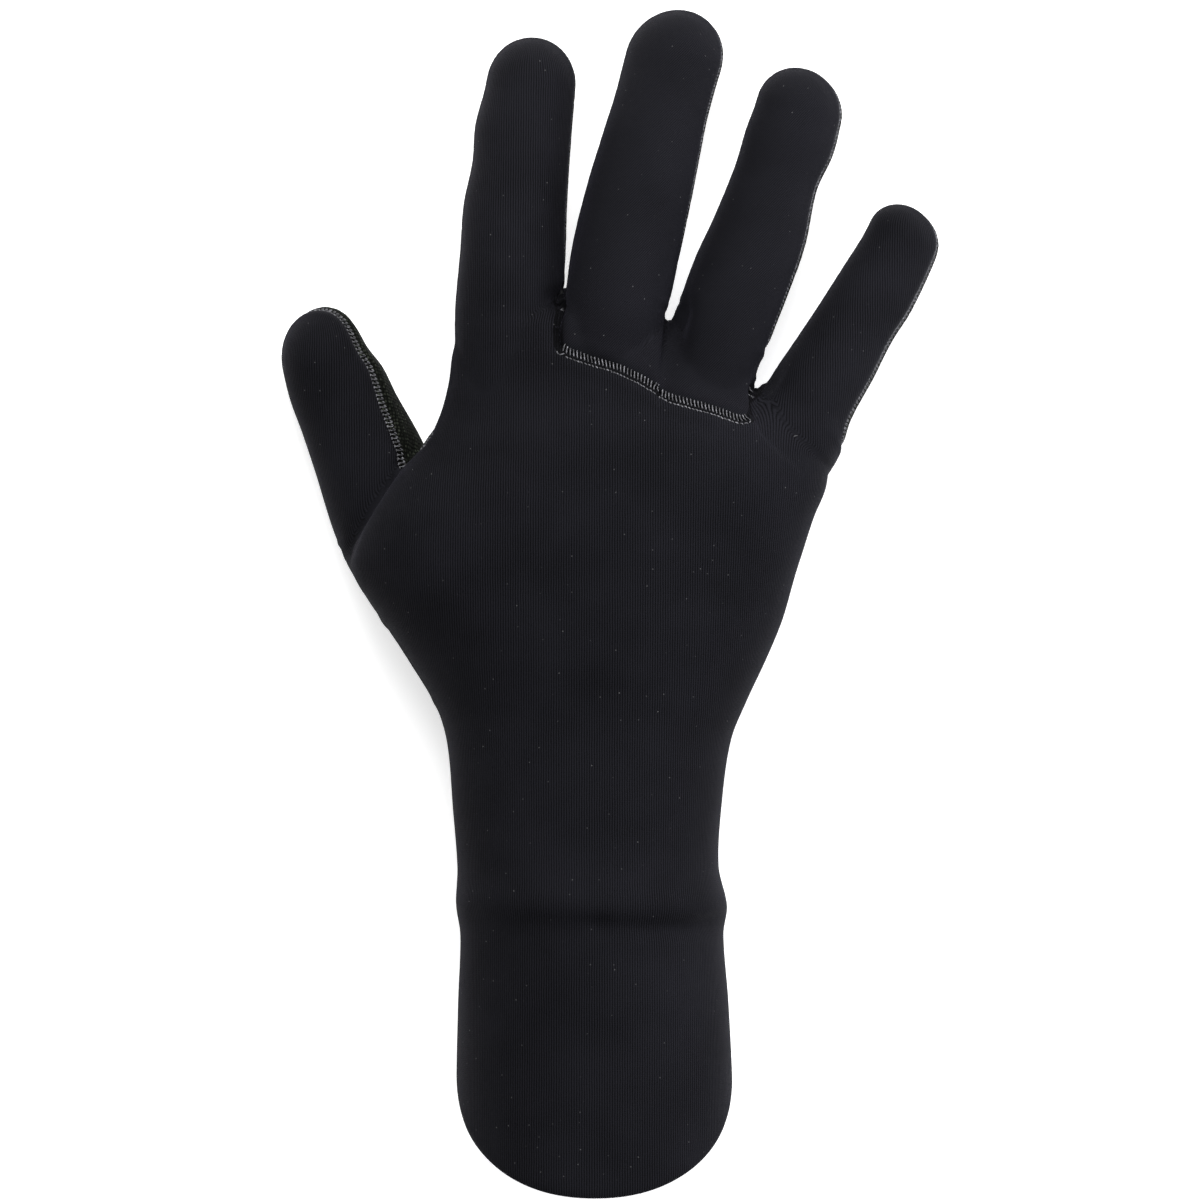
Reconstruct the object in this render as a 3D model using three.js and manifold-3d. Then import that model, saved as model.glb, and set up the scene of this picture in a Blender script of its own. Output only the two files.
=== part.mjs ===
// A right-hand diving glove of nylon-faced neoprene, lying palm down as it rests by itself.
//
// Frame, in millimetres: the origin is on the floor under the middle of the wrist, +Y runs towards
// the fingertips, +Z up through the back of the hand, and the thumb is on the -X side.
//
// The glove is six hollow tubes, one for the cuff and palm and one for each digit, joined into a
// single wall of even thickness and parted along the seams into its three sewn panels:
//   back_panel         cuff, back of the hand, and the backs of thumb, forefinger and little finger
//   finger_back_panel  the backs of the two middle fingers, let in along the knuckle seam
//   palm_panel         the grip cloth of palm, thumb and fingers
import * as THREE from "three";
import { mergeVertices } from "three/addons/utils/BufferGeometryUtils.js";
import Module from "manifold-3d";

const wasm = await Module();
wasm.setup();

// Driving dimensions
const WALL = 4; // foam and both its knitted faces
const SEAM_GAP = 0.3; // between the butted edges of two panels
const CUFF_LENGTH = 120; // wrist to the longest point of the hem
const CUFF_WIDTH = 74;
const CUFF_HEIGHT = 55;
const HEM_SLANT = 45; // degrees that the mouth leans, so that the back of the cuff is the longer
const PALM_LENGTH = 117; // wrist to the deepest finger crotch
const PALM_WIDTH = 120; // across the ball of the thumb
const PALM_HEIGHT = 57; // floor to the top of the knuckles
const HEEL_SEAM = 13; // wrist to the near edge of the grip cloth

// Cuff, from the hem to the wrist. along: share of the cuff's length. radial and ulnar: reach to
// the thumb's side and to the other side, as shares of its width. top and bottom: heights as shares
// of its height. A bottom below 0 is pressed flat by the floor.
const CUFF_ROWS = [
  { along: -1.1, radial: 0.48, ulnar: 0.517, top: 1.0, bottom: -0.06 },
  { along: -0.79, radial: 0.48, ulnar: 0.513, top: 1.0, bottom: -0.06 },
  { along: -0.58, radial: 0.474, ulnar: 0.494, top: 0.985, bottom: -0.06 },
  { along: -0.43, radial: 0.466, ulnar: 0.478, top: 0.955, bottom: -0.05 },
  { along: -0.365, radial: 0.48, ulnar: 0.492, top: 0.975, bottom: -0.05 },
  { along: -0.28, radial: 0.474, ulnar: 0.462, top: 0.94, bottom: -0.05 },
  { along: -0.15, radial: 0.49, ulnar: 0.472, top: 0.92, bottom: -0.045 },
];

// Palm, from the wrist to the finger crotches, in the same columns and shares of the palm's sizes.
const PALM_ROWS = [
  { along: 0.0, radial: 0.318, ulnar: 0.312, top: 0.89, bottom: -0.04 },
  { along: 0.09, radial: 0.347, ulnar: 0.347, top: 0.9, bottom: -0.05 },
  { along: 0.18, radial: 0.4, ulnar: 0.388, top: 0.93, bottom: -0.06 },
  { along: 0.27, radial: 0.457, ulnar: 0.424, top: 0.96, bottom: -0.05 },
  { along: 0.37, radial: 0.52, ulnar: 0.453, top: 0.98, bottom: -0.01 },
  { along: 0.43, radial: 0.524, ulnar: 0.472, top: 0.99, bottom: 0.03 },
  { along: 0.5, radial: 0.494, ulnar: 0.493, top: 1.0, bottom: 0.08 },
  { along: 0.58, radial: 0.44, ulnar: 0.52, top: 1.0, bottom: 0.13 },
  { along: 0.65, radial: 0.378, ulnar: 0.505, top: 0.985, bottom: 0.17 },
  { along: 0.72, radial: 0.335, ulnar: 0.44, top: 0.96, bottom: 0.2 },
  { along: 0.8, radial: 0.312, ulnar: 0.36, top: 0.93, bottom: 0.24 },
  { along: 0.88, radial: 0.3, ulnar: 0.245, top: 0.9, bottom: 0.29 },
  { along: 1.0, radial: 0.26, ulnar: 0.12, top: 0.85, bottom: 0.36 },
];

// Digits. x and y: where the centre line starts inside the palm, as shares of the palm's width and
// length. yaw: degrees that it leans towards the little finger's side. length: from there to the
// tip. In the rows, along is a share of the length, radial and ulnar are shares of the width, and
// top and bottom are shares of the height. round: share where the rounding of the tip begins.
// seamLow and seamTilt: height of the side seam on the centre line and its rise towards the ulnar
// side, as shares of half the depth there.
const DIGITS = {
  thumb: {
    x: -0.365, y: 0.317, yaw: -20.3, length: 83, width: 28, height: 36,
    round: 0.83, seamLow: 0.12, seamTilt: 0.7,
    rows: [
      { along: 0, radial: 0.4, ulnar: 0.5, top: 1.0, bottom: 0.12 },
      { along: 0.25, radial: 0.585, ulnar: 0.55, top: 0.95, bottom: 0.02 },
      { along: 0.5, radial: 0.565, ulnar: 0.49, top: 0.83, bottom: -0.03 },
      { along: 0.65, radial: 0.555, ulnar: 0.415, top: 0.77, bottom: -0.04 },
      { along: 0.75, radial: 0.553, ulnar: 0.385, top: 0.74, bottom: -0.04 },
      { along: 0.85, radial: 0.52, ulnar: 0.31, top: 0.72, bottom: -0.04 },
      { along: 1, radial: 0.48, ulnar: 0.37, top: 0.68, bottom: -0.02 },
    ],
  },
  forefinger: {
    x: -0.183, y: 0.725, yaw: 3.7, length: 102.5, width: 27, height: 52,
    round: 0.88, seamLow: -0.1, seamTilt: 0.15,
    rows: [
      { along: 0, radial: 0.4, ulnar: 0.4, top: 0.92, bottom: 0.5 },
      { along: 0.22, radial: 0.555, ulnar: 0.46, top: 0.955, bottom: 0.4 },
      { along: 0.45, radial: 0.559, ulnar: 0.456, top: 0.87, bottom: 0.34 },
      { along: 0.55, radial: 0.553, ulnar: 0.444, top: 0.81, bottom: 0.29 },
      { along: 0.66, radial: 0.495, ulnar: 0.446, top: 0.725, bottom: 0.215 },
      { along: 0.76, radial: 0.493, ulnar: 0.45, top: 0.64, bottom: 0.14 },
      { along: 0.87, radial: 0.42, ulnar: 0.453, top: 0.545, bottom: 0.055 },
      { along: 1, radial: 0.4, ulnar: 0.45, top: 0.44, bottom: -0.04 },
    ],
  },
  middle_finger: {
    x: 0.004, y: 0.77, yaw: 12.6, length: 107, width: 27, height: 55,
    round: 0.87, seamLow: -0.05, seamTilt: 0.2,
    rows: [
      { along: 0, radial: 0.4, ulnar: 0.4, top: 0.92, bottom: 0.5 },
      { along: 0.25, radial: 0.487, ulnar: 0.52, top: 0.965, bottom: 0.43 },
      { along: 0.5, radial: 0.497, ulnar: 0.519, top: 0.865, bottom: 0.36 },
      { along: 0.65, radial: 0.452, ulnar: 0.507, top: 0.755, bottom: 0.265 },
      { along: 0.75, radial: 0.419, ulnar: 0.5, top: 0.66, bottom: 0.185 },
      { along: 0.87, radial: 0.405, ulnar: 0.525, top: 0.53, bottom: 0.065 },
      { along: 1, radial: 0.375, ulnar: 0.58, top: 0.42, bottom: -0.035 },
    ],
  },
  ring_finger: {
    x: 0.221, y: 0.702, yaw: 16.9, length: 101.3, width: 25.5, height: 52,
    round: 0.89, seamLow: -0.05, seamTilt: 0.25,
    rows: [
      { along: 0, radial: 0.4, ulnar: 0.4, top: 0.9, bottom: 0.5 },
      { along: 0.25, radial: 0.5, ulnar: 0.5, top: 0.935, bottom: 0.41 },
      { along: 0.43, radial: 0.463, ulnar: 0.555, top: 0.87, bottom: 0.365 },
      { along: 0.55, radial: 0.396, ulnar: 0.573, top: 0.79, bottom: 0.305 },
      { along: 0.7, radial: 0.341, ulnar: 0.529, top: 0.66, bottom: 0.2 },
      { along: 0.8, radial: 0.345, ulnar: 0.588, top: 0.575, bottom: 0.115 },
      { along: 0.88, radial: 0.33, ulnar: 0.577, top: 0.5, bottom: 0.045 },
      { along: 1, radial: 0.36, ulnar: 0.53, top: 0.4, bottom: -0.04 },
    ],
  },
  little_finger: {
    x: 0.387, y: 0.589, yaw: 27.6, length: 82.9, width: 22.5, height: 46,
    round: 0.9, seamLow: -0.05, seamTilt: 0.3,
    rows: [
      { along: 0, radial: 0.45, ulnar: 0.5, top: 0.88, bottom: 0.42 },
      { along: 0.17, radial: 0.5, ulnar: 0.615, top: 0.915, bottom: 0.35 },
      { along: 0.3, radial: 0.493, ulnar: 0.553, top: 0.87, bottom: 0.345 },
      { along: 0.45, radial: 0.436, ulnar: 0.564, top: 0.79, bottom: 0.295 },
      { along: 0.58, radial: 0.387, ulnar: 0.556, top: 0.7, bottom: 0.23 },
      { along: 0.7, radial: 0.347, ulnar: 0.595, top: 0.61, bottom: 0.155 },
      { along: 0.86, radial: 0.3, ulnar: 0.58, top: 0.485, bottom: 0.035 },
      { along: 1, radial: 0.33, ulnar: 0.52, top: 0.4, bottom: -0.04 },
    ],
  },
};

// Knuckle seam, from the crotch beside the forefinger to the crotch beside the little finger, as
// shares of the palm's width (from the wrist's middle) and length.
const KNUCKLE_SEAM = [
  { x: -0.068, y: 0.925 },
  { x: -0.066, y: 0.893 },
  { x: -0.053, y: 0.878 },
  { x: 0.009, y: 0.855 },
  { x: 0.062, y: 0.841 },
  { x: 0.115, y: 0.815 },
  { x: 0.177, y: 0.774 },
  { x: 0.265, y: 0.749 },
  { x: 0.331, y: 0.724 },
  { x: 0.35, y: 0.729 },
  { x: 0.356, y: 0.747 },
  { x: 0.357, y: 0.78 },
];

// Trunk: the cuff and palm as one tube along +Y
const TRUNK_SEAM = { seamLow: -0.2, seamTilt: -0.15 };
const TRUNK_SQUARENESS = 2.15; // power of the section's rounded outline, 2 being an ellipse
const DIGIT_SQUARENESS = 2.1;

const TRUNK_ROUND = 0.93; // share of the palm's length where its rounding between the digits begins

// Parting surface between back and palm
const SEAM_BLEND = 3; // distance outside a tube at which its say in the seam's height halves
const SEAM_REACH = 1.2; // half widths aside over which a tube's seam keeps rising
const DIGIT_FADE = 0.3; // share of a digit's length over which it takes over from the palm
const PARTING_GRID = 8; // spacing of the surface's points
const PARTING_MARGIN = 20; // how far the surface runs out past the glove

// Fineness of the faceted model
const TRUNK_SIDES = 32;
const DIGIT_SIDES = 12;
const RING_SPACING = 16; // greatest distance between two rings
const TIP_RINGS = 3;
const LAST_TIP_RING = 0.92; // share of a tip's quarter turn where its last ring lies

// The trunk's rows are kept in millimetres, because its two halves have sizes of their own.
const scaled = (rows, length, width, height) =>
  rows.map((row) => ({
    along: row.along * length,
    radial: row.radial * width,
    ulnar: row.ulnar * width,
    top: row.top * height,
    bottom: row.bottom * height,
  }));

const trunk = {
  name: "trunk",
  origin: new THREE.Vector2(0, 0),
  yaw: 0,
  rows: [
    ...scaled(CUFF_ROWS, CUFF_LENGTH, CUFF_WIDTH, CUFF_HEIGHT),
    ...scaled(PALM_ROWS, PALM_LENGTH, PALM_WIDTH, PALM_HEIGHT),
  ],
  round: TRUNK_ROUND * PALM_LENGTH,
  sides: TRUNK_SIDES,
  squareness: TRUNK_SQUARENESS,
  ...TRUNK_SEAM,
};

const digits = Object.entries(DIGITS).map(([name, digit]) => ({
  ...digit,
  name,
  origin: new THREE.Vector2(digit.x * PALM_WIDTH, digit.y * PALM_LENGTH),
  yaw: THREE.MathUtils.degToRad(digit.yaw),
  rows: scaled(digit.rows, digit.length, digit.width, digit.height),
  round: digit.round * digit.length,
  sides: DIGIT_SIDES,
  squareness: DIGIT_SQUARENESS,
}));

const tubes = [trunk, ...digits];

// One column of a tube's rows at a distance along it, on a smooth curve through the rows.
function read(rows, column, along) {
  const last = rows.length - 1;
  let i = 0;
  while (i < last - 1 && along > rows[i + 1].along) i += 1;
  const slope = (j) => {
    const a = rows[Math.max(j - 1, 0)];
    const b = rows[Math.min(j + 1, last)];
    return (b[column] - a[column]) / (b.along - a.along);
  };
  const span = rows[i + 1].along - rows[i].along;
  const t = THREE.MathUtils.clamp((along - rows[i].along) / span, 0, 1);
  const t2 = t * t;
  const t3 = t2 * t;
  return (
    (2 * t3 - 3 * t2 + 1) * rows[i][column] +
    (t3 - 2 * t2 + t) * span * slope(i) +
    (3 * t2 - 2 * t3) * rows[i + 1][column] +
    (t3 - t2) * span * slope(i + 1)
  );
}

// A tube's section at a distance along it: its middle, half width and half depth.
function section(tube, along) {
  const radial = read(tube.rows, "radial", along);
  const ulnar = read(tube.rows, "ulnar", along);
  const top = read(tube.rows, "top", along);
  const bottom = read(tube.rows, "bottom", along);
  return {
    across: (ulnar - radial) / 2,
    half: (ulnar + radial) / 2,
    middle: (top + bottom) / 2,
    deep: (top - bottom) / 2,
  };
}

// Plan direction of a tube, and the direction across it towards the little finger's side.
const direction = (tube) => new THREE.Vector2(Math.sin(tube.yaw), Math.cos(tube.yaw));
const crosswise = (tube) => new THREE.Vector2(Math.cos(tube.yaw), -Math.sin(tube.yaw));

function planPoint(tube, along, across) {
  return tube.origin
    .clone()
    .addScaledVector(direction(tube), along)
    .addScaledVector(crosswise(tube), across);
}

// Distances along a tube where it has a ring, with the share of the full section that each keeps.
function stations(tube, inset) {
  const stops = tube.rows.map((row) => row.along).filter((along) => along < tube.round);
  stops.push(tube.round);
  const list = [{ along: stops[0], keep: 1 }];
  for (let i = 1; i < stops.length; i++) {
    const span = stops[i] - stops[i - 1];
    const steps = Math.ceil(span / RING_SPACING);
    for (let step = 1; step <= steps; step++) {
      list.push({ along: stops[i - 1] + (span * step) / steps, keep: 1 });
    }
  }
  const end = tube.rows[tube.rows.length - 1].along - inset;
  for (let i = 1; i <= TIP_RINGS; i++) {
    const angle = (i / TIP_RINGS) * LAST_TIP_RING * (Math.PI / 2);
    list.push({
      along: tube.round + (end - tube.round) * Math.sin(angle),
      keep: Math.cos(angle),
    });
  }
  return { list, end };
}

// A closed, round-tipped tube through the sections. inset moves its whole surface inwards, and the
// floor presses it flat at that height.
function tubeGeometry(tube, inset) {
  const positions = [];
  const triangles = [];
  const { list, end } = stations(tube, inset);
  const power = 2 / tube.squareness;
  const bulge = (value) => Math.sign(value) * Math.abs(value) ** power;
  const put = (along, across, height) => {
    const plan = planPoint(tube, along, across);
    positions.push(plan.x, plan.y, Math.max(height, inset));
  };
  for (const { along, keep } of list) {
    const { across, half, middle, deep } = section(tube, along);
    for (let i = 0; i < tube.sides; i++) {
      const angle = (i / tube.sides) * 2 * Math.PI;
      put(
        along,
        across + (half - inset) * keep * bulge(Math.cos(angle)),
        middle + (deep - inset) * keep * bulge(Math.sin(angle)),
      );
    }
  }
  for (let ring = 0; ring < list.length - 1; ring++) {
    for (let i = 0; i < tube.sides; i++) {
      const a = ring * tube.sides + i;
      const b = ring * tube.sides + ((i + 1) % tube.sides);
      triangles.push(a, a + tube.sides, b, b, a + tube.sides, b + tube.sides);
    }
  }
  const heel = positions.length / 3;
  const first = section(tube, list[0].along);
  put(list[0].along, first.across, first.middle);
  const tip = section(tube, end);
  put(end, tip.across, tip.middle);
  const lastRing = (list.length - 1) * tube.sides;
  for (let i = 0; i < tube.sides; i++) {
    const next = (i + 1) % tube.sides;
    triangles.push(heel, i, next);
    triangles.push(heel + 1, lastRing + next, lastRing + i);
  }
  return new THREE.BufferGeometry()
    .setAttribute("position", new THREE.Float32BufferAttribute(positions, 3))
    .setIndex(triangles);
}

// Solids from geometries, and back
function solid(geometry) {
  const bare = new THREE.BufferGeometry()
    .setAttribute("position", geometry.getAttribute("position"))
    .setIndex(geometry.getIndex());
  const merged = mergeVertices(bare, 1e-4);
  const made = new wasm.Manifold(
    new wasm.Mesh({
      numProp: 3,
      vertProperties: merged.getAttribute("position").array,
      triVerts: new Uint32Array(merged.getIndex().array),
    }),
  );
  if (made.volume() <= 0) throw new Error("a geometry is inside out");
  return made;
}

function geometryOf(made) {
  const mesh = made.getMesh();
  const geometry = new THREE.BufferGeometry()
    .setAttribute("position", new THREE.BufferAttribute(mesh.vertProperties, 3))
    .setIndex(new THREE.BufferAttribute(mesh.triVerts, 1));
  geometry.computeVertexNormals();
  return geometry;
}

const joined = (inset) =>
  tubes
    .map((tube) => solid(tubeGeometry(tube, inset)))
    .reduce((all, next) => all.add(next));

// Everything beyond the hem's slanted plane, which passes through the cuff's longest point.
function beyondHem() {
  const size = 4 * CUFF_LENGTH;
  const slant = THREE.MathUtils.degToRad(HEM_SLANT);
  const box = new THREE.BoxGeometry(size, size, size);
  box.translate(0, -size / 2, 0);
  box.rotateX(slant);
  box.translate(0, -CUFF_LENGTH, CUFF_HEIGHT);
  return solid(box);
}

// Height of the seam that parts back from palm, at a place in plan. Each tube has its own seam
// height there, and near a crotch the neighbours' heights run into each other.
function seamHeight(x, y) {
  let sum = 0;
  let weights = 0;
  for (const tube of tubes) {
    const place = new THREE.Vector2(x, y).sub(tube.origin);
    const rows = tube.rows;
    const end = rows[rows.length - 1].along;
    const length = place.dot(direction(tube));
    const along = THREE.MathUtils.clamp(length, rows[0].along, end);
    const { across, half, middle, deep } = section(tube, along);
    const offset = place.dot(crosswise(tube)) - across;
    const share = THREE.MathUtils.clamp(offset / half, -SEAM_REACH, SEAM_REACH);
    const aside = Math.max(Math.abs(offset) - half, 0);
    const before = tube === trunk ? 0 : Math.max(DIGIT_FADE * end - length, 0);
    const past = Math.max(length - end, 0);
    const away = Math.hypot(aside, before, past) / SEAM_BLEND;
    const weight = 1 / (1 + away ** 4);
    sum += weight * (middle + deep * (tube.seamLow + tube.seamTilt * share));
    weights += weight;
  }
  return sum / weights;
}

// Everything on the palm side of the seam, with its border moved outwards by grow.
function palmSide(grow) {
  const tips = digits.map((tube) => planPoint(tube, tube.rows[tube.rows.length - 1].along, 0));
  const left = Math.min(...tips.map((tip) => tip.x)) - PARTING_MARGIN;
  const right = Math.max(...tips.map((tip) => tip.x)) + PARTING_MARGIN;
  const far = Math.max(...tips.map((tip) => tip.y)) + PARTING_MARGIN;
  const width = right - left;
  const length = far - HEEL_SEAM;
  const box = new THREE.BoxGeometry(
    width,
    length,
    1,
    Math.round(width / PARTING_GRID),
    Math.round(length / PARTING_GRID),
    1,
  );
  box.translate((left + right) / 2, (HEEL_SEAM + far) / 2, 0);
  const position = box.getAttribute("position");
  for (let i = 0; i < position.count; i++) {
    const x = position.getX(i);
    const y = position.getY(i);
    const upper = position.getZ(i) > 0;
    position.setZ(i, upper ? seamHeight(x, y) + grow : -PARTING_MARGIN);
    if (y - HEEL_SEAM < PARTING_GRID / 2) position.setY(i, y - grow);
  }
  return solid(box);
}

// Line in plan that runs up the gap between two neighbouring fingers and out past their tips.
const GAP_SHARES = [0.45, 0.6, 0.75, 0.9, 1.2]; // of the fingers' lengths
function between(radialDigit, ulnarDigit) {
  return GAP_SHARES.map((share) => {
    const near = share * radialDigit.rows[radialDigit.rows.length - 1].along;
    const far = share * ulnarDigit.rows[ulnarDigit.rows.length - 1].along;
    const a = section(radialDigit, near);
    const b = section(ulnarDigit, far);
    return planPoint(radialDigit, near, a.across + a.half).lerp(
      planPoint(ulnarDigit, far, b.across - b.half),
      0.5,
    );
  });
}

const digit = (name) => digits.find((one) => one.name === name);
const insertOutline = [
  ...between(digit("forefinger"), digit("middle_finger")).reverse(),
  ...KNUCKLE_SEAM.map(
    ({ x, y }) => new THREE.Vector2(x * PALM_WIDTH, y * PALM_LENGTH),
  ),
  ...between(digit("ring_finger"), digit("little_finger")),
];

// An upright solid over an outline in plan, from below the floor to above the glove.
function upright(outline) {
  const depth = 3 * PALM_HEIGHT;
  const geometry = new THREE.ExtrudeGeometry(new THREE.Shape(outline), {
    depth,
    bevelEnabled: false,
  });
  geometry.translate(0, 0, -depth / 3);
  geometry.deleteAttribute("normal");
  geometry.deleteAttribute("uv");
  return solid(mergeVertices(geometry));
}

// A thin upright wall along an open line in plan, as wide as the gap between two panels.
function gapAlong(line) {
  const edge = (side) =>
    line.map((point, i) => {
      const before = line[Math.max(i - 1, 0)];
      const after = line[Math.min(i + 1, line.length - 1)];
      const along = after.clone().sub(before).normalize();
      const aside = new THREE.Vector2(along.y, -along.x);
      return point.clone().addScaledVector(aside, (side * SEAM_GAP) / 2);
    });
  return upright([...edge(1), ...edge(-1).reverse()]);
}

// Panels
const shell = joined(0).subtract(joined(WALL)).subtract(beyondHem());
const palm = shell.intersect(palmSide(-SEAM_GAP / 2));
const backs = shell.subtract(palmSide(SEAM_GAP / 2)).subtract(gapAlong(insertOutline));
const insert = upright(insertOutline);
const panels = {
  back_panel: { made: backs.subtract(insert), cloth: "jersey" },
  finger_back_panel: { made: backs.intersect(insert), cloth: "jersey" },
  palm_panel: { made: palm, cloth: "grip" },
};

const cloths = {
  jersey: new THREE.MeshStandardMaterial({ color: 0x1d1d21, roughness: 0.85, metalness: 0 }),
  grip: new THREE.MeshStandardMaterial({ color: 0x14160f, roughness: 0.7, metalness: 0 }),
};

const glove = new THREE.Group();
for (const [name, { made, cloth }] of Object.entries(panels)) {
  const mesh = new THREE.Mesh(geometryOf(made), cloths[cloth]);
  mesh.name = name;
  glove.add(mesh);
}

export default glove;
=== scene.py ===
import math
from collections import namedtuple

import bpy
import numpy as np
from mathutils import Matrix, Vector
from mathutils.bvhtree import BVHTree


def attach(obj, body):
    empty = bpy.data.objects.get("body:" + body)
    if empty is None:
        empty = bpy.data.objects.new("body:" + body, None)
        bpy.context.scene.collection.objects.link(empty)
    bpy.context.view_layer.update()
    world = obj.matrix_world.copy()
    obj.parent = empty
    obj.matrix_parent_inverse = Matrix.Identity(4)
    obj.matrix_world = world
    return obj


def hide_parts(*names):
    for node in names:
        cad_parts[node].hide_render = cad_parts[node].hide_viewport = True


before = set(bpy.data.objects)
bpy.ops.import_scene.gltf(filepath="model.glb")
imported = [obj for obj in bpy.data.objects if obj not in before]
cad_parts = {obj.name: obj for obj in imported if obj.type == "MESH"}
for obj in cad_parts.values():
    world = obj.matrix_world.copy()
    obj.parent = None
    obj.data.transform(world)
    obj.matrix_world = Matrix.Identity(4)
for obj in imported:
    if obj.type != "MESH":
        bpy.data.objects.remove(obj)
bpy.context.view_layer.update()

MM = 0.001

# Driving dimensions, as the solids have them
WALL = 4
SEAM_GAP = 0.3
CUFF_LENGTH = 120
CUFF_WIDTH = 74
CUFF_HEIGHT = 55
HEM_SLANT = 45
PALM_LENGTH = 117
PALM_WIDTH = 120
PALM_HEIGHT = 57
HEEL_SEAM = 13

# Sections of the cuff, palm and digits: shares of their named sizes, as in the solids
Row = namedtuple("Row", "along radial ulnar top bottom")
CUFF_ROWS = [
    (-1.1, 0.48, 0.517, 1.0, -0.06),
    (-0.79, 0.48, 0.513, 1.0, -0.06),
    (-0.58, 0.474, 0.494, 0.985, -0.06),
    (-0.43, 0.466, 0.478, 0.955, -0.05),
    (-0.365, 0.48, 0.492, 0.975, -0.05),
    (-0.28, 0.474, 0.462, 0.94, -0.05),
    (-0.15, 0.49, 0.472, 0.92, -0.045),
]
PALM_ROWS = [
    (0.0, 0.318, 0.312, 0.89, -0.04),
    (0.09, 0.347, 0.347, 0.9, -0.05),
    (0.18, 0.4, 0.388, 0.93, -0.06),
    (0.27, 0.457, 0.424, 0.96, -0.05),
    (0.37, 0.52, 0.453, 0.98, -0.01),
    (0.43, 0.524, 0.472, 0.99, 0.03),
    (0.5, 0.494, 0.493, 1.0, 0.08),
    (0.58, 0.44, 0.52, 1.0, 0.13),
    (0.65, 0.378, 0.505, 0.985, 0.17),
    (0.72, 0.335, 0.44, 0.96, 0.2),
    (0.8, 0.312, 0.36, 0.93, 0.24),
    (0.88, 0.3, 0.245, 0.9, 0.29),
    (1.0, 0.26, 0.12, 0.85, 0.36),
]
DIGITS = {
    "thumb": dict(
        x=-0.365, y=0.317, yaw=-20.3, length=83, width=28, height=36,
        round=0.83, seam_low=0.12, seam_tilt=0.7, rows=[
        (0, 0.46, 0.5, 1.0, 0.12), (0.25, 0.585, 0.55, 0.95, 0.02),
        (0.5, 0.565, 0.49, 0.83, -0.03), (0.65, 0.555, 0.415, 0.77, -0.04),
        (0.75, 0.553, 0.385, 0.74, -0.04), (0.85, 0.52, 0.31, 0.72, -0.04),
        (1, 0.48, 0.37, 0.68, -0.02),
    ]),
    "forefinger": dict(
        x=-0.183, y=0.725, yaw=3.7, length=102.5, width=27, height=52,
        round=0.88, seam_low=-0.1, seam_tilt=0.15, rows=[
        (0, 0.4, 0.4, 0.92, 0.5), (0.22, 0.555, 0.46, 0.955, 0.4),
        (0.45, 0.559, 0.456, 0.87, 0.34), (0.55, 0.553, 0.444, 0.81, 0.29),
        (0.66, 0.495, 0.446, 0.725, 0.215), (0.76, 0.493, 0.45, 0.64, 0.14),
        (0.87, 0.42, 0.453, 0.545, 0.055), (1, 0.4, 0.45, 0.44, -0.04),
    ]),
    "middle_finger": dict(
        x=0.004, y=0.77, yaw=12.6, length=107, width=27, height=55,
        round=0.87, seam_low=-0.05, seam_tilt=0.2, rows=[
        (0, 0.4, 0.4, 0.92, 0.5), (0.25, 0.487, 0.52, 0.965, 0.43),
        (0.5, 0.497, 0.519, 0.865, 0.36), (0.65, 0.452, 0.507, 0.755, 0.265),
        (0.75, 0.419, 0.5, 0.66, 0.185), (0.87, 0.405, 0.525, 0.53, 0.065),
        (1, 0.375, 0.58, 0.42, -0.035),
    ]),
    "ring_finger": dict(
        x=0.221, y=0.702, yaw=16.9, length=101.3, width=25.5, height=52,
        round=0.89, seam_low=-0.05, seam_tilt=0.25, rows=[
        (0, 0.4, 0.4, 0.9, 0.5), (0.25, 0.5, 0.5, 0.935, 0.41),
        (0.43, 0.463, 0.555, 0.87, 0.365), (0.55, 0.396, 0.573, 0.79, 0.305),
        (0.7, 0.341, 0.529, 0.66, 0.2), (0.8, 0.345, 0.588, 0.575, 0.115),
        (0.88, 0.33, 0.577, 0.5, 0.045), (1, 0.36, 0.53, 0.4, -0.04),
    ]),
    "little_finger": dict(
        x=0.387, y=0.589, yaw=27.6, length=82.9, width=22.5, height=46,
        round=0.9, seam_low=-0.05, seam_tilt=0.3, rows=[
        (0, 0.45, 0.5, 0.88, 0.42), (0.17, 0.5, 0.615, 0.915, 0.35),
        (0.3, 0.493, 0.553, 0.87, 0.345), (0.45, 0.436, 0.564, 0.79, 0.295),
        (0.58, 0.387, 0.556, 0.7, 0.23), (0.7, 0.347, 0.595, 0.61, 0.155),
        (0.86, 0.3, 0.58, 0.485, 0.035), (1, 0.33, 0.52, 0.4, -0.04),
    ]),
}

# Knuckle seam, as shares of the palm's width and length
KNUCKLE_SEAM = [
    (-0.068, 0.925), (-0.066, 0.893), (-0.053, 0.878), (0.009, 0.855), (0.062, 0.841),
    (0.115, 0.815), (0.177, 0.774), (0.265, 0.749), (0.331, 0.724), (0.35, 0.729),
    (0.356, 0.747), (0.357, 0.78),
]
GAP_SHARES = [0.45, 0.6, 0.75, 0.9, 1.2]

TRUNK_SEAM = dict(seam_low=-0.2, seam_tilt=-0.15)
TRUNK_SQUARENESS = 2.15
DIGIT_SQUARENESS = 2.1
TRUNK_ROUND = 0.93
SEAM_BLEND = 3
SEAM_REACH = 1.2
THUMB_TILT = ([0.0, 0.3, 0.5, 0.75, 0.95], [1.4, 1.55, 1.8, 0.98, 0.72])  # shares along and of the tilt
SEAM_DROP = (-62, 48, 12, 13)  # place in plan, depth and reach: the seam dives under the lip
DIGIT_FADE = 0.3
HEEL = 10  # length over which a tube's hidden end rounds off

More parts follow.
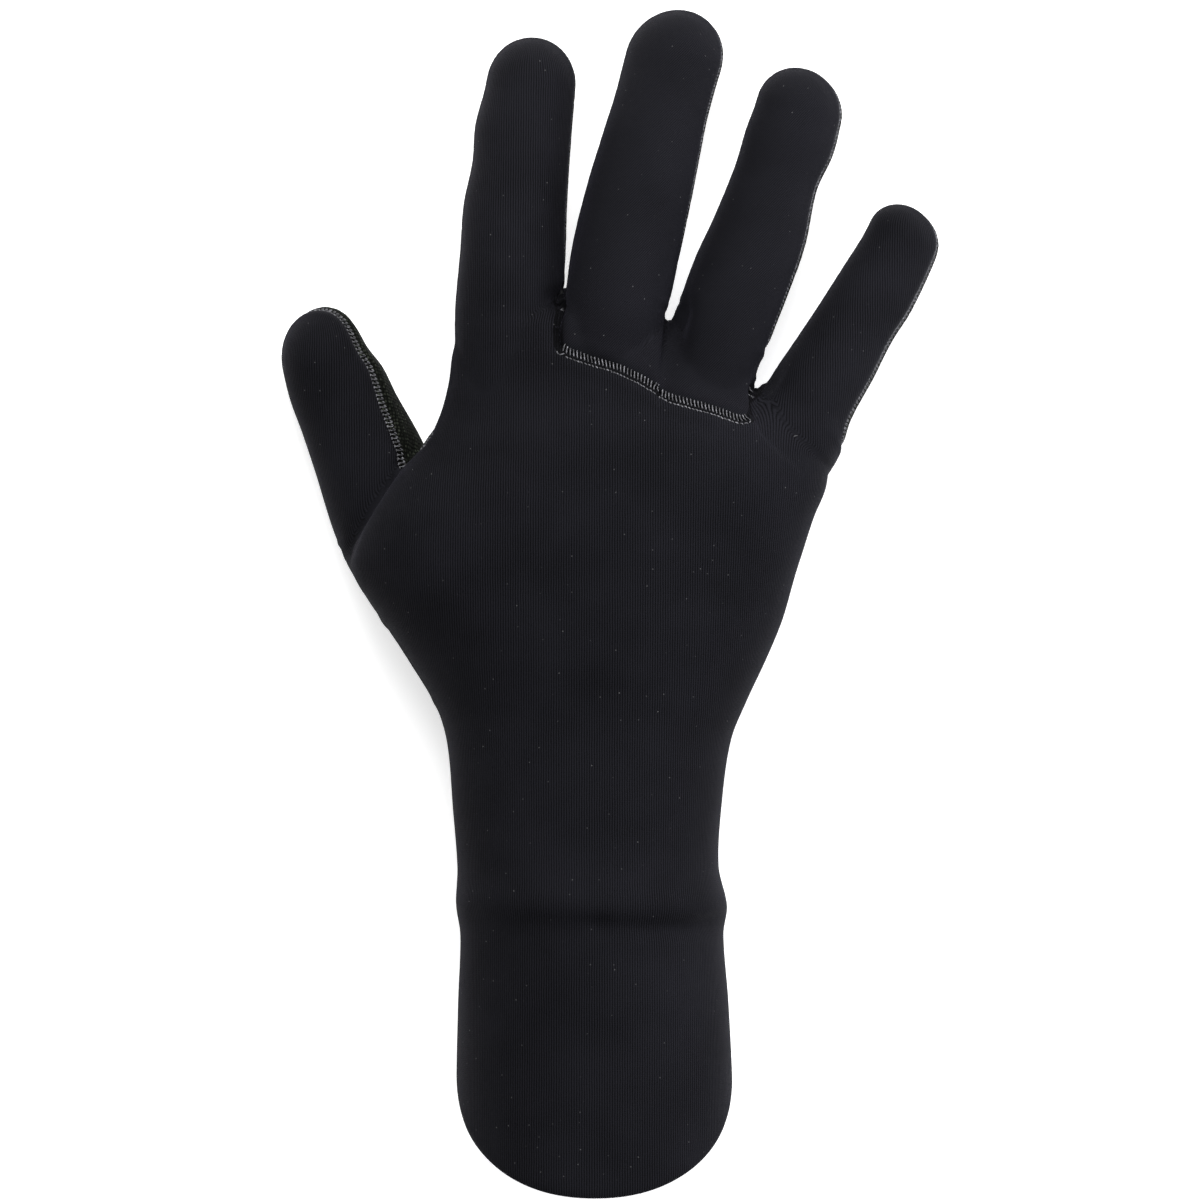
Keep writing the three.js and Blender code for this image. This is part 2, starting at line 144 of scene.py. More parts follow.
# How far the tubes run into each other, and the floor's press into them
DIGITS_BLEND = 0.8
PALM_BLEND = ([85, 100], [9, 2.5])  # places along the hand, and the reach there
THUMB_BLEND = 3
FLOOR_BLEND = 3

# Mesh
STEP = 1.2
GRID_LOW = (-88.0, -126.0, -3.0)
GRID_HIGH = (98.0, 200.0, 63.0)
FIELD_LIMIT = 30  # distances further from a tube's surface aren't told apart
LEAST_SLOPE = 0.01  # least slopes reckoned with: of a tube's field, on the way onto the skin,
SKIN_STEEP = 0.2  # (squared)
LINE_STEEP = 0.1  # onto a cutting line (squared)
SIDE_SLOPE = 0.35  # and of a measure along the skin
SLOPE_REACH = 0.3
RELAX_ROUNDS = 6
INNER_STEPS = 8  # steps in which the inner face is found
SNAP = 0.22  # a point this close to a cutting line is moved onto it
SEAM_LOOPS = (1.0, 2.2)  # distances from a seam at which the mesh gets an edge loop
HEM_LOOPS = (0.7, 1.6)


def read(rows, column, along):
    """One column of a tube's rows at distances along it, on a smooth curve through the rows."""
    stops = np.array([row.along for row in rows], float)
    values = np.array([getattr(row, column) for row in rows], float)
    last = len(rows) - 1
    before = np.maximum(np.arange(last + 1) - 1, 0)
    after = np.minimum(np.arange(last + 1) + 1, last)
    slopes = (values[after] - values[before]) / (stops[after] - stops[before])
    i = np.clip(np.searchsorted(stops, along, side="left") - 1, 0, last - 1)
    span = stops[i + 1] - stops[i]
    t = np.clip((along - stops[i]) / span, 0, 1)
    t2 = t * t
    t3 = t2 * t
    return (
        (2 * t3 - 3 * t2 + 1) * values[i]
        + (t3 - 2 * t2 + t) * span * slopes[i]
        + (3 * t2 - 2 * t3) * values[i + 1]
        + (t3 - t2) * span * slopes[i + 1]
    )


def scaled(rows, length, width, height):
    return [Row(*np.multiply(row, (length, width, width, height, height))) for row in rows]


def unit(vectors):
    return vectors / np.maximum(np.linalg.norm(vectors, axis=-1, keepdims=True), 1e-9)


class Tube:
    """A round-tipped tube through sections, leaning in plan from a point inside the palm."""

    def __init__(self, rows, x, y, yaw, round_from, squareness, seam_low, seam_tilt):
        self.rows = rows
        self.origin = (x, y)
        self.forward = (math.sin(yaw), math.cos(yaw))
        self.aside = (math.cos(yaw), -math.sin(yaw))
        self.round_from = round_from
        self.squareness = squareness
        self.seam_low = seam_low
        self.seam_tilt = seam_tilt
        self.end = rows[-1].along

    def local(self, x, y):
        """Distance along the tube and distance across it, of places in plan."""
        dx, dy = x - self.origin[0], y - self.origin[1]
        return (
            dx * self.forward[0] + dy * self.forward[1],
            dx * self.aside[0] + dy * self.aside[1],
        )

    def plan(self, along, across):
        return (
            self.origin[0] + self.forward[0] * along + self.aside[0] * across,
            self.origin[1] + self.forward[1] * along + self.aside[1] * across,
        )

    def section(self, along):
        """Middle, half width, mid height and half depth at distances along the tube."""
        radial, ulnar, top, bottom = (read(self.rows, c, along) for c in Row._fields[1:])
        return (ulnar - radial) / 2, (ulnar + radial) / 2, (top + bottom) / 2, (top - bottom) / 2

    def swell(self, x, y, z):
        """1 on the tube's surface, less inside it and more outside."""
        along, offset = self.local(x, y)
        across, half, middle, deep = self.section(along)
        n = self.squareness
        round_share = np.maximum(along - self.round_from, 0) / (self.end - self.round_from)
        heel_share = np.maximum(self.rows[0].along - along, 0) / HEEL
        rim = (np.abs((offset - across) / half) ** n + np.abs((z - middle) / deep) ** n) ** (1 / n)
        return np.sqrt(rim**2 + round_share**2 + heel_share**2)


def make_tubes():
    trunk = Tube(
        scaled(CUFF_ROWS, CUFF_LENGTH, CUFF_WIDTH, CUFF_HEIGHT)
        + scaled(PALM_ROWS, PALM_LENGTH, PALM_WIDTH, PALM_HEIGHT),
        0, 0, 0, TRUNK_ROUND * PALM_LENGTH, TRUNK_SQUARENESS, **TRUNK_SEAM,
    )
    tubes = {"trunk": trunk}
    for name, d in DIGITS.items():
        tubes[name] = Tube(
            scaled(d["rows"], d["length"], d["width"], d["height"]),
            d["x"] * PALM_WIDTH, d["y"] * PALM_LENGTH, math.radians(d["yaw"]),
            d["round"] * d["length"], DIGIT_SQUARENESS, d["seam_low"], d["seam_tilt"],
        )
    return tubes


TUBES = make_tubes()
FINGERS = ["forefinger", "middle_finger", "ring_finger", "little_finger"]


# The skin

GRID = [np.arange(low, high, STEP) for low, high in zip(GRID_LOW, GRID_HIGH)]


def tube_field(tube):
    """Distance to the tube's surface at the grid's points, negative inside."""
    x, y, z = np.meshgrid(*GRID, indexing="ij", sparse=True)
    swell = tube.swell(x, y, z)
    slope = np.sqrt(sum(g**2 for g in np.gradient(swell, STEP)))
    return np.clip((swell - 1) / np.maximum(slope, LEAST_SLOPE), -FIELD_LIMIT, FIELD_LIMIT)


def blend(a, b, reach):
    """Union of two fields, with a fillet where their surfaces cross and none where they agree."""
    agree = sum(p * q for p, q in zip(np.gradient(a, STEP), np.gradient(b, STEP)))
    crossing = np.clip(1 - agree, 0, 1)
    nearness = np.clip(1 - np.abs(a - b) / reach, 0, 1)
    return np.minimum(a, b) - reach / 4 * nearness**2 * crossing


def glove_field():
    fields = {name: tube_field(tube) for name, tube in TUBES.items()}
    fingers = fields[FINGERS[0]]
    for name in FINGERS[1:]:
        fingers = blend(fingers, fields[name], DIGITS_BLEND)
    reach = np.interp(GRID[1], *PALM_BLEND)[None, :, None]
    hand = blend(fields["trunk"], fingers, reach)
    hand = blend(hand, fields["thumb"], THUMB_BLEND)
    height = np.broadcast_to(GRID[2], hand.shape)
    glove = -blend(-hand, height, FLOOR_BLEND)
    glove[:, 0] = STEP  # closed at the grid's end, which lies beyond the hem
    return glove


def sample(field, points):
    """The field at points, between the grid's values."""
    place = (points - np.array(GRID_LOW)) / STEP
    cell = np.clip(np.floor(place).astype(int), 0, np.array(field.shape) - 2)
    share = np.clip(place - cell, 0, 1)
    total = 0
    for corner in np.ndindex(2, 2, 2):
        weight = np.prod(np.where(corner, share, 1 - share), axis=1)
        total = total + weight * field[tuple((cell + corner).T)]
    return total


def field_slope(field, points):
    shift = STEP * np.eye(3) / 2
    return np.stack(
        [(sample(field, points + s) - sample(field, points - s)) / STEP for s in shift], axis=1
    )


def settle(field, points, level=0.0):
    """Points moved along the field's slope onto the surface where it has that level."""
    slope = field_slope(field, points)
    steep = np.maximum((slope**2).sum(1), SKIN_STEEP)
    return points - ((sample(field, points) - level) / steep)[:, None] * slope


def surface_nets(field):
    """Points and triangles of the field's zero surface: a point in each cell that it crosses."""
    inside = field < 0
    cells = tuple(n - 1 for n in field.shape)
    corners = list(np.ndindex(2, 2, 2))
    view = lambda grid, c: grid[tuple(slice(o, o + n) for o, n in zip(c, cells))]
    count = sum(view(inside, c).astype(np.int8) for c in corners)
    where = np.argwhere((count > 0) & (count < 8))
    number = np.full(cells, -1)
    number[tuple(where.T)] = np.arange(len(where))

    total = np.zeros((len(where), 3))
    hits = np.zeros(len(where))
    for start in corners:
        for axis in range(3):
            if start[axis]:
                continue
            stop = tuple(o + (a == axis) for a, o in enumerate(start))
            first = field[tuple((where + start).T)]
            second = field[tuple((where + stop).T)]
            crossed = (first < 0) != (second < 0)
            share = np.where(crossed, first / np.where(crossed, first - second, 1), 0)
            spot = where + np.array(start) + share[:, None] * np.eye(3)[axis]
            total += np.where(crossed[:, None], spot, 0)
            hits += crossed
    points = np.array(GRID_LOW) + STEP * total / hits[:, None]

    quads = []
    for axis in range(3):
        step = np.eye(3, dtype=int)
        e, f, g = step[axis], step[(axis + 1) % 3], step[(axis + 2) % 3]
        low = inside[tuple(slice(0, n - s) for n, s in zip(inside.shape, e))]
        high = inside[tuple(slice(s, None) for s in e)]
        spots = np.argwhere(low != high)
        around = np.stack([number[tuple((spots - o).T)] for o in (f + g, g, 0 * f, f)], axis=1)
        outward = low[tuple(spots.T)]
        quads.append(np.where(outward[:, None], around, around[:, ::-1]))
    quads = np.concatenate(quads)
    a, b, c, d = (points[quads[:, i]] for i in range(4))
    first = ((a - c) ** 2).sum(1) <= ((b - d) ** 2).sum(1)
    halves = np.where(
        first[:, None, None], quads[:, [[0, 1, 2], [0, 2, 3]]], quads[:, [[0, 1, 3], [1, 2, 3]]]
    )
    return points, halves.reshape(-1, 3)


def neighbour_mean(points, triangles):
    pairs = np.concatenate([triangles[:, [0, 1]], triangles[:, [1, 2]], triangles[:, [2, 0]]])
    count = np.bincount(pairs[:, 0], minlength=len(points))
    total = [np.bincount(pairs[:, 0], points[pairs[:, 1], a], len(points)) for a in range(3)]
    return np.stack(total, axis=1) / count[:, None]


def normals_of(points, triangles):
    a, b, c = (points[triangles[:, i]] for i in range(3))
    faces = np.cross(b - a, c - a)
    normals = np.zeros_like(points)
    for i in range(3):
        for axis in range(3):
            normals[:, axis] += np.bincount(triangles[:, i], faces[:, axis], len(points))
    return unit(normals)


# Lines on the skin

def seam_height(x, y):
    """Height of the seam that parts back from palm, at places in plan."""
    total = 0
    weights = 0
    for name, tube in TUBES.items():
        length, aside = tube.local(x, y)
        along = np.clip(length, tube.rows[0].along, tube.end)
        across, half, middle, deep = tube.section(along)
        offset = aside - across
        share = np.clip(offset / half, -SEAM_REACH, SEAM_REACH)
        out = np.maximum(np.abs(offset) - half, 0)
        before = 0 if name == "trunk" else np.maximum(DIGIT_FADE * tube.end - length, 0)
        past = np.maximum(length - tube.end, 0)
        away = np.sqrt(out**2 + before**2 + past**2) / SEAM_BLEND
        weight = 1 / (1 + away**4)
        tilt = tube.seam_tilt
        if name == "thumb":
            tilt = tilt * np.interp(along / tube.end, *THUMB_TILT)
        total = total + weight * (middle + deep * (tube.seam_low + tilt * share))
        weights = weights + weight
    px, py, depth, reach = SEAM_DROP
    return total / weights - depth * np.exp(-((x - px) ** 2 + (y - py) ** 2) / reach**2)


def palm_side(points):
    """How far points lie on the palm's side of its seam."""
    x, y, z = points.T
    return np.minimum(y - HEEL_SEAM, seam_height(x, y) - z)


def hem_side(points):
    """How far points lie inside the hem's slanted plane."""
    slant = math.radians(HEM_SLANT)
    return (points[:, 1] + CUFF_LENGTH) * math.cos(slant) - (CUFF_HEIGHT - points[:, 2]) * math.sin(slant)


def between(radial_digit, ulnar_digit):
    """Line in plan up the gap between two neighbouring fingers and out past their tips."""
    line = []
    for share in GAP_SHARES:
        near, far = share * radial_digit.end, share * ulnar_digit.end
        across, half, _, _ = radial_digit.section(near)
        first = radial_digit.plan(near, across + half)
        across, half, _, _ = ulnar_digit.section(far)
        second = ulnar_digit.plan(far, across - half)
        line.append([(p + q) / 2 for p, q in zip(first, second)])
    return line


INSERT_OUTLINE = np.array(
    between(TUBES["forefinger"], TUBES["middle_finger"])[::-1]
    + [[x * PALM_WIDTH, y * PALM_LENGTH] for x, y in KNUCKLE_SEAM]
    + between(TUBES["ring_finger"], TUBES["little_finger"])
)


def from_segment(p, a, b):
    """Distance in plan from points to a segment, and the share along it where that is least."""
    t = np.clip((p - a) @ (b - a) / ((b - a) @ (b - a)), 0, 1)
    return np.linalg.norm(p - a - t[:, None] * (b - a), axis=1), t


def insert_side(points):
    """How far points lie inside the outline of the two middle fingers' back, in plan."""
    p = points[:, :2]
    nearest = np.full(len(p), np.inf)
    inside = np.zeros(len(p), bool)
    for a, b in zip(INSERT_OUTLINE, np.roll(INSERT_OUTLINE, -1, axis=0)):
        nearest = np.minimum(nearest, from_segment(p, a, b)[0])
        rises = (a[1] > p[:, 1]) != (b[1] > p[:, 1])
        reach = a[0] + (p[:, 1] - a[1]) / (b[1] - a[1] if b[1] != a[1] else 1) * (b[0] - a[0])
        inside ^= rises & (p[:, 0] < reach)
    return np.where(inside, nearest, -nearest)


def slope_on_skin(measure, points, normals):
    """Slope of a measure along the skin."""
    rises = [measure(points + s) - measure(points - s) for s in SLOPE_REACH * np.eye(3)]
    slope = np.stack(rises, axis=1) / (2 * SLOPE_REACH)
    return slope - (slope * normals).sum(1)[:, None] * normals


def distance_on_skin(measure, points, normals):
    slope = slope_on_skin(measure, points, normals)
    return measure(points) / np.maximum(np.linalg.norm(slope, axis=1), SIDE_SLOPE)


class Skin:
    """Triangles over shared points, each marked with the panel that it belongs to."""

    def __init__(self, points, triangles, panel):
        self.points, self.triangles, self.panel = points, triangles, panel

    def cut(self, measure, level, panel):
        """Cuts one panel's triangles along measure == level; returns the side each triangle is on."""
        chosen = self.panel == panel
        used = np.unique(self.triangles[chosen])
        normals = normals_of(self.points, self.triangles)[used]
        points = self.points[used]
        far = distance_on_skin(lambda p: measure(p) - level, points, normals)
        slope = slope_on_skin(measure, points, normals)
        steep = np.maximum((slope**2).sum(1), LINE_STEEP)
        value = measure(points) - level
        near = np.abs(far) < SNAP
        points[near] -= (value / steep)[near, None] * slope[near]
        value[near] = 0
        self.points[used] = points
        values = np.zeros(len(self.points))
        values[used] = value

        side = np.sign(values).astype(int)[self.triangles]
        mixed = chosen & (side.min(1) < 0) & (side.max(1) > 0)
        corners, signs = self.triangles[mixed], side[mixed]
        on_line = (signs == 0).any(1)
        odd = signs == -np.sign(signs.sum(1))[:, None]
        first = np.where(on_line, (signs == 0).argmax(1), odd.argmax(1))
        corners = np.take_along_axis(corners, (first[:, None] + np.arange(3)) % 3, 1)
        a, b, c = corners[on_line].T  # cut in two, from corner a
        d, e, f = corners[~on_line].T  # cut in three, with corner d by itself
        edges = np.concatenate([np.stack(pair, 1) for pair in ((b, c), (d, e), (d, f))])
        ends, index = np.unique(np.sort(edges, 1), axis=0, return_inverse=True)
        k, p, q = np.split(index.reshape(-1) + len(self.points), [len(a), len(a) + len(d)])
        v = values[ends]
        share = (v[:, 0] / (v[:, 0] - v[:, 1]))[:, None]
        fresh = self.points[ends[:, 0]] * (1 - share) + self.points[ends[:, 1]] * share
        pieces = [(a, b, k), (a, k, c), (d, p, q), (p, e, f), (p, f, q)]
        made = np.concatenate([np.stack(t, 1) for t in pieces])
        self.points = np.concatenate([self.points, fresh])
        values = np.concatenate([values, np.zeros(len(fresh))])
        self.triangles = np.concatenate([self.triangles[~mixed], made])
        self.panel = np.concatenate([self.panel[~mixed], np.full(len(made), panel)])
        total = np.sign(values[self.triangles]).sum(1)
        return np.where(self.panel == panel, np.sign(total), 0)

    def drop(self, gone):
        self.triangles, self.panel = self.triangles[~gone], self.panel[~gone]


WHOLE, BACK, PALM, INSERT, STRIP = range(5)


def make_skin(field):
    points, triangles = surface_nets(field)
    for _ in range(RELAX_ROUNDS):
        points = (points + neighbour_mean(points, triangles)) / 2
        points = settle(field, points)
    skin = Skin(points, triangles, np.full(len(triangles), WHOLE))
    for loop in HEM_LOOPS:
        skin.cut(hem_side, loop, WHOLE)
    skin.drop(skin.cut(hem_side, 0, WHOLE) < 0)
    return skin


def part_panels(skin):
    """Marks the skin's panels, with a narrow strip between them that belongs to none."""
    edge = SEAM_GAP / 2
    for loop in SEAM_LOOPS:
        skin.cut(palm_side, loop, WHOLE)
        skin.cut(palm_side, -loop, WHOLE)
    side = skin.cut(palm_side, edge, WHOLE)
    skin.panel[side > 0] = PALM
    side = skin.cut(palm_side, -edge, WHOLE)
    skin.panel[side < 0] = BACK
    skin.panel[skin.panel == WHOLE] = STRIP
    for loop in SEAM_LOOPS:
        skin.cut(insert_side, loop, BACK)
        skin.cut(insert_side, -loop, BACK)
    side = skin.cut(insert_side, edge, BACK)
    skin.panel[side > 0] = INSERT
    side = skin.cut(insert_side, -edge, BACK)
    skin.panel[side > 0] = STRIP


# Relief of the skin

SEAM_DIP = 0.75  # depth of the groove that stitching pulls in along a seam
SEAM_DIP_WIDTH = 0.95
SEAM_PUFF = 0.3  # how far the foam stands up beside it
SEAM_PUFF_AT = 3.2
SEAM_PUFF_WIDTH = 1.7
HEM_ROLL = 0.5
WAVE = 0.16  # heights of the foam's long and short unevenness
RIPPLE = 0.10

# Creases and swellings of the back, in plan: line, depth at its start and at its end (less than
# nothing for a swelling), and how far it reaches to the left and to the right of the line
CREASES = [
    ([(2, -48.5), (15, -49.5), (28, -49), (38, -47.5)], 0.7, 1.7, 2.6, 2.6),
    ([(-30, -47), (-12, -48), (2, -48.5)], 0.3, 0.5, 3.0, 3.0),
    ([(-36, -42), (0, -43), (36, -43.5)], -0.45, -0.45, 3.2, 3.2),
    ([(45.4, 99), (43.3, 93), (43.9, 86.5), (45.6, 82), (51.5, 75.5)], 4.6, 0.9, 4.2, 0.9),
    ([(18.7, 94.5), (19.4, 99.5), (20.4, 106.5), (21.4, 113)], 1.8, 3.6, 0.8, 4.4),
    ([(-8.3, 104), (-8.4, 108), (-7.5, 116)], 1.2, 2.9, 3.0, 0.8),
    ([(-63.6, 48.5), (-60.9, 56), (-58, 61), (-54, 67.2), (-49.6, 72.8), (-44, 78.2)], 1.3, 1.5, 2.6, 0.7),
]
CREASE_WALL = 1.5  # how deep a crease goes before the inner face gives way too
STITCH_DEPTH = 1.6  # a crease deeper than this closes over the stitches in it
STITCH_UP = 0.75  # and so does a gap between fingers, where the skin no longer faces up this much


def line_distance(points, line):
    """Plan distance from points to an open line, which lie to its left, and the share along it."""
    p = points[:, :2]
    nearest = np.full(len(p), np.inf)
    left = np.zeros(len(p), bool)
    share = np.zeros(len(p))
    line = np.array(line, float)
    for i, (a, b) in enumerate(zip(line[:-1], line[1:])):
        distance, t = from_segment(p, a, b)
        turn = (b[0] - a[0]) * (p[:, 1] - a[1]) - (b[1] - a[1]) * (p[:, 0] - a[0])
        closer = distance < nearest
        left = np.where(closer, turn > 0, left)
        share = np.where(closer, (i + t) / (len(line) - 1), share)
        nearest = np.minimum(nearest, distance)
    return nearest, left, share


def crease_depth(points):
    """How deep the creases are at points, less than nothing on a swelling."""
    total = np.zeros(len(points))
    for line, start, end, left_reach, right_reach in CREASES:
        distance, left, share = line_distance(points, line)
        reach = np.where(left, left_reach, right_reach)
        total += (start + (end - start) * share) * np.exp(-((distance / reach) ** 2))
    return total


def relief(points, normals):
    """How far each point of the skin moves outwards for seams, hem, creases and unevenness."""
    lift = np.zeros(len(points))
    palm = np.abs(distance_on_skin(palm_side, points, normals))
    insert = np.abs(distance_on_skin(insert_side, points, normals))
    above = palm_side(points) < 0
    for distance, there in ((palm, 1.0), (insert, above * 1.0)):
        lift -= there * SEAM_DIP * np.exp(-((distance / SEAM_DIP_WIDTH) ** 2))
        lift += there * SEAM_PUFF * np.exp(-(((distance - SEAM_PUFF_AT) / SEAM_PUFF_WIDTH) ** 2))
    hem = hem_side(points)
    lift -= HEM_ROLL * np.clip(1 - hem / HEM_LOOPS[-1], 0, 1) ** 2
    lift -= np.clip(normals[:, 2] * 2, 0, 1) * crease_depth(points)
    x, y, z = points.T
    lift += WAVE * np.sin(x / 9.1 + 0.4 * np.sin(y / 13)) * np.sin(y / 15.3 + z / 11 + 0.7)
    lift += RIPPLE * np.sin(x / 5.3 + z / 6.1 + 1.9) * np.sin(y / 8.7 + 2.2 + 0.5 * np.sin(x / 17))
    return lift


# Cloth coordinates: where each point of the skin lies when its cloth is laid out flat

ARC_STEPS = 24
CLOTH_BLEND = 0.2  # how closely two tubes have to be matched in nearness to share a point's cloth
WRAP = 25  # a triangle whose flat corners are further apart than this spans the wrap below


def signed_power(value, power):
    return np.sign(value) * np.abs(value) ** power


def arc_length(turn, half, deep, power):
    """Length round sections from their top to an angle."""
    steps = np.linspace(0, 1, ARC_STEPS + 1)[:, None] * turn
    x = half * signed_power(np.sin(steps), power)
    z = deep * signed_power(np.cos(steps), power)
    return np.sqrt(np.diff(x, axis=0) ** 2 + np.diff(z, axis=0) ** 2).sum(0)


def flat_place(points):
    """Flat plan place of each point, the length round its section, and its main tube's weight."""
    x, y, z = points.T
    places, turns, nearness = [], [], []
    for tube in TUBES.values():
        along, offset = tube.local(x, y)
        across, half, middle, deep = tube.section(along)
        swell = tube.swell(x, y, z)
        power = 2 / tube.squareness
        u, w = (offset - across) / half, (z - middle) / deep
        angle = np.arctan2(signed_power(w, 1 / power), signed_power(u, 1 / power))
        turn = (math.pi / 2 - angle + math.pi) % (2 * math.pi) - math.pi
        length = np.sign(turn) * arc_length(np.abs(turn), half, deep, power)
        places.append(np.stack(tube.plan(along, across + length), axis=1))
        turns.append(2 * arc_length(np.full(len(x), math.pi), half, deep, power))
        nearness.append((swell - 1) * np.minimum(half, deep))
    nearness = np.array(nearness)
    weights = np.exp(-(nearness - nearness.min(0)) / CLOTH_BLEND)
    weights /= weights.sum(0)
    place = sum(w[:, None] * p for w, p in zip(weights, places))
    turn = sum(w * t for w, t in zip(weights, turns))
    return place, turn, weights.max(0)


def cloth_corners(place, turn, triangles):
    """Flat places for each triangle's corners, unrolled where a triangle spans the wrap below."""
    corners = place[triangles]
    spread = corners[:, :, 0].max(1) - corners[:, :, 0].min(1)
    wraps = spread > WRAP
    corners[wraps, :, 0] += np.where(corners[wraps, :, 0] < 0, turn[triangles[wraps]], 0)
    return corners.reshape(-1, 2)


# Meshes

def add_object(name, data):
    made = bpy.data.objects.new(name, data)
    bpy.context.scene.collection.objects.link(made)
    return made


def mesh_object(name, points, faces, materials, indices=None):
    """A smooth mesh object from points in millimetres; what would be below the floor is flat on it."""
    mesh = bpy.data.meshes.new(name)
    mesh.from_pydata(np.maximum(points, (-np.inf, -np.inf, 0)) * MM, [], faces)
    mesh.polygons.foreach_set("use_smooth", np.ones(len(faces), bool))
    if indices is not None:
        mesh.polygons.foreach_set("material_index", indices.astype(np.int32))
    for material in materials:
        mesh.materials.append(material)
    return add_object(name, mesh)


def add_vectors(mesh, name, domain, values):
    data = mesh.attributes.new(name, "FLOAT_VECTOR", domain).data
    data.foreach_set("vector", values.astype(np.float32).ravel())


def border_of(triangles):
    """Directed edges that only one triangle has."""
    edges = np.concatenate([triangles[:, [0, 1]], triangles[:, [1, 2]], triangles[:, [2, 0]]])
    _, index, count = np.unique(np.sort(edges, 1), axis=0, return_inverse=True, return_counts=True)
    return edges[count[index.reshape(-1)] == 1]


RIM_ROWS = (0.12, 0.5, 0.88)  # shares of the wall's thickness
RIM_KINDS = (0, 1, 1, 2)  # the edge's materials, from outside to inside: face, foam and lining
RIM_BULGE = 0.12
FAR = 50.0


def panel_object(name, outer, inner, triangles, corners, marks, materials):
    """A panel of foam: its outer and inner faces, and the cut edge that joins them."""
    used, index = np.unique(triangles, return_inverse=True)
    triangles = index.reshape(-1, 3)
    outer, inner = outer[used], inner[used]
    n = len(used)
    border = border_of(triangles)
    rim = np.unique(border)
    row_of = np.zeros(n, int)
    row_of[rim] = np.arange(len(rim))
    out = np.zeros_like(outer)
    along = outer[border[:, 1]] - outer[border[:, 0]]
    across = np.cross(along, (outer - inner)[border[:, 0]])
    for axis in range(3):
        for end in range(2):
            out[:, axis] += np.bincount(border[:, end], across[:, axis], n)
    bulge = RIM_BULGE * unit(out[rim])
    rows = [outer[rim] * (1 - t) + inner[rim] * t + bulge for t in RIM_ROWS]
    points = np.concatenate([outer, inner] + rows)
    rims = [2 * n + i * len(rim) + row_of for i in range(len(RIM_ROWS))]
    levels = [np.arange(n)] + rims + [np.arange(n) + n]
    faces = [triangles, triangles[:, ::-1] + n]
    kinds = [np.full(len(triangles), kind) for kind in (RIM_KINDS[0], RIM_KINDS[-1])]
    a, b = border.T
    for kind, upper, lower in zip(RIM_KINDS, levels, levels[1:]):
        faces += [np.stack([upper[b], upper[a], lower[a]], 1), np.stack([upper[b], lower[a], lower[b]], 1)]
        kinds.append(np.full(2 * len(border), kind))
    flat = np.concatenate([corners, corners.reshape(-1, 3, 2)[:, ::-1].reshape(-1, 2)])
    place = np.zeros((n, 2))
    place[triangles.ravel()] = corners
    placed = np.concatenate([place, place] + [place[rim] + t * WALL for t in RIM_ROWS])
    rim_corners = placed[np.concatenate(faces[2:]).ravel()]
    made = mesh_object(name, points, np.concatenate(faces), materials, np.concatenate(kinds))
    values = np.concatenate([flat, rim_corners])
    add_vectors(made.data, "cloth", "CORNER", np.pad(values, ((0, 0), (0, 1))))
    values = np.full((len(points), 3), FAR)
    values[:n] = marks[used]
    add_vectors(made.data, "marks", "POINT", values)
    sharpen(made.data, [border, border + n])
    return made


def sharpen(mesh, borders):
    """Marks the edges between given pairs of points as sharp."""
    pairs = np.empty(len(mesh.edges) * 2, np.int32)
    mesh.edges.foreach_get("vertices", pairs)
    pairs = np.sort(pairs.reshape(-1, 2), 1).astype(np.int64)
    size = len(mesh.vertices)
    marked = np.concatenate([np.sort(b, 1) for b in borders])
    sharp = np.isin(pairs[:, 0] * size + pairs[:, 1], marked[:, 0] * size + marked[:, 1])
    mesh.attributes.new("sharp_edge", "BOOLEAN", "EDGE").data.foreach_set("value", sharp)


# Stitching

THREAD = 0.17  # radius
THREAD_SIDES = 6
STITCH_HEIGHT = 0.17
LINE_STEP = 0.4  # spacing at which a seam's line is followed
LINE_SMOOTH = 1.0
LEAST_LINE = 10  # a line of fewer points gets no stitches
SIDE_STEP = 0.6  # distance from a seam at which its two sides are told apart


def seam_lines(points, triangles, values):
    """Lines through the triangles where the values change sign, each a run of points."""
    side = values > 0
    where = {}
    steps = {}
    mixed = triangles[side[triangles].any(1) & ~side[triangles].all(1)]
    for triangle in mixed:
        ends = []
        for a, b in ((0, 1), (1, 2), (2, 0)):
            p, q = triangle[a], triangle[b]
            if side[p] != side[q]:
                key = (min(p, q), max(p, q))
                share = values[p] / (values[p] - values[q])
                where[key] = points[p] + share * (points[q] - points[p])
                ends.append(key)
        steps.setdefault(ends[0], []).append(ends[1])
        steps.setdefault(ends[1], []).append(ends[0])
    lines = []
    left = set(steps)
    starts = sorted(key for key in left if len(steps[key]) == 1) + sorted(left)
    for start in starts:
        if start not in left:
            continue
        line = [start]
        left.discard(start)
        while True:
            onward = [key for key in steps[line[-1]] if key in left]
            if not onward:
                break
            line.append(onward[0])
            left.discard(onward[0])
        closed = len(steps[start]) == 2 and start in steps[line[-1]] and len(line) > 2
        lines.append((np.array([where[key] for key in line]), closed))
    return lines


def even_line(line, closed):
    """The line with even spacing, its small jogs smoothed away."""
    if closed:
        line = np.concatenate([line, line[:1]])
    lengths = np.concatenate([[0], np.cumsum(np.linalg.norm(np.diff(line, axis=0), axis=1))])
    count = max(int(lengths[-1] / LINE_STEP), 2)
    stops = np.linspace(0, lengths[-1], count + 1)
    even = np.stack([np.interp(stops, lengths, line[:, a]) for a in range(3)], axis=1)
    reach = int(3 * LINE_SMOOTH / LINE_STEP)
    kernel = np.exp(-0.5 * (np.arange(-reach, reach + 1) * LINE_STEP / LINE_SMOOTH) ** 2)
    kernel /= kernel.sum()
    mode = "wrap" if closed else "edge"
    if closed:
        even = even[:-1]
    padded = np.pad(even, ((reach, reach), (0, 0)), mode=mode)
    return np.stack([np.convolve(padded[:, a], kernel, "valid") for a in range(3)], axis=1)


